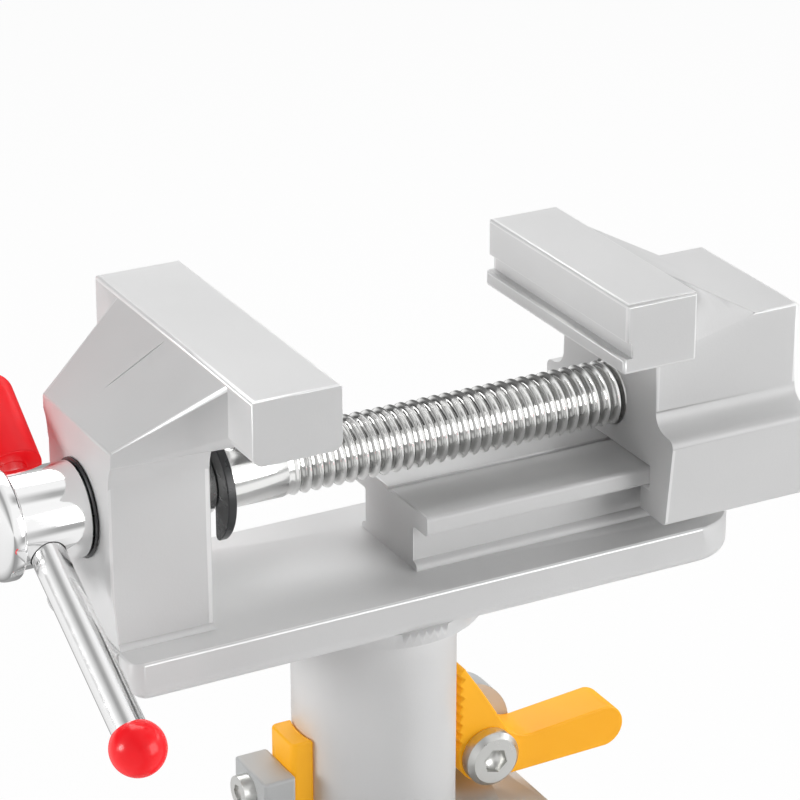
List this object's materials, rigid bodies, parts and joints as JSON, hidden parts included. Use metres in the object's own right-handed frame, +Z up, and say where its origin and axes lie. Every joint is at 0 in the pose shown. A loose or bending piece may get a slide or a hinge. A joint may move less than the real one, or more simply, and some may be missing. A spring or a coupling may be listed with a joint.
{
  "type": "mini table vise",
  "caption": "Small screw vise on a round post that turns in a table clamp, with a sliding handle bar, a toothed lock on the post and rubber faced clamping pads.",
  "frame": {"origin": "on the table top, under the middle of the vise's round post, at the face that rests on the table", "axes": "+X along the lead screw away from the handle, +Y across the jaws, +Z up along the post"},
  "size_m": [0.079, 0.0409, 0.1598],
  "materials": {
    "cast_silver": "satin silver coat on the vise casting",
    "clamp_grey": "satin grey coat on the clamp casting",
    "bright_steel": "polished plated steel",
    "thread_steel": "plated thread",
    "black_steel": "blackened steel",
    "red_plastic": "glossy dipped plastic",
    "orange_plastic": "satin moulded plastic",
    "zinc_screw": "zinc plated",
    "black_rubber": "matt rubber"
  },
  "bodies": {
    "clamp_frame": {"table_clamp": "clamp_grey", "table_cushion": "black_rubber", "cam_screw": "zinc_screw", "post_pad": "orange_plastic", "pad_screws": "zinc_screw"},
    "vise": {"vise_body": "cast_silver"},
    "jaw": {"moving_jaw": "cast_silver"},
    "spindle": {"lead_screw": "thread_steel", "screw_hub": "bright_steel", "thrust_washer": "black_steel", "retaining_clip": "black_steel"},
    "handle": {"tommy_bar": "bright_steel", "bar_ball": "red_plastic", "bar_grip": "red_plastic"},
    "post_lock": {"post_lock_cam": "orange_plastic"},
    "pad_group": {"clamp_pad": "clamp_grey", "pad_cushion": "black_rubber"},
    "clamp_spindle": {"clamp_screw": "bright_steel"},
    "clamp_handle": {"clamp_bar": "bright_steel", "clamp_bar_cap_a": "red_plastic", "clamp_bar_cap_b": "red_plastic"}
  },
  "joints": [
    {"name": "post_swivel", "type": "hinge", "parent": "clamp_frame", "child": "vise", "pos_m": [0, 0, 0.012], "axis": [0, 0, 1], "continuous": true},
    {"name": "jaw_slide", "type": "slide", "parent": "vise", "child": "jaw", "axis": [-1, 0, 0], "range_m": [0, 0.029]},
    {"name": "screw_spin", "type": "hinge", "parent": "vise", "child": "spindle", "pos_m": [-0.0333, 0, 0.05005], "axis": [1, 0, 0], "range_deg": [0, 9080]},
    {"name": "bar_slide", "type": "slide", "parent": "spindle", "child": "handle", "axis": [0, 0.8771, 0.4802], "range_m": [0, 0.0178]},
    {"name": "lock_tilt", "type": "hinge", "parent": "clamp_frame", "child": "post_lock", "pos_m": [0.011, 0, 0.016], "axis": [0, 1, 0], "range_deg": [0, 20]},
    {"name": "clamp_travel", "type": "slide", "parent": "clamp_frame", "child": "pad_group", "axis": [0, 0, 1], "range_m": [-0.017, 0.022]},
    {"name": "clamp_screw_spin", "type": "hinge", "parent": "pad_group", "child": "clamp_spindle", "pos_m": [0, 0, -0.034], "axis": [0, 0, 1], "range_deg": [-4900, 6340]},
    {"name": "clamp_bar_slide", "type": "slide", "parent": "clamp_spindle", "child": "clamp_handle", "axis": [0.8192, 0.5736, 0], "range_m": [-0.0152, 0.0152]}
  ],
  "couplings": [
    {"joint": "screw_spin", "follows": "jaw_slide", "rad_per_m": 5463.6},
    {"joint": "clamp_screw_spin", "follows": "clamp_travel", "rad_per_m": 5026.5}
  ]
}
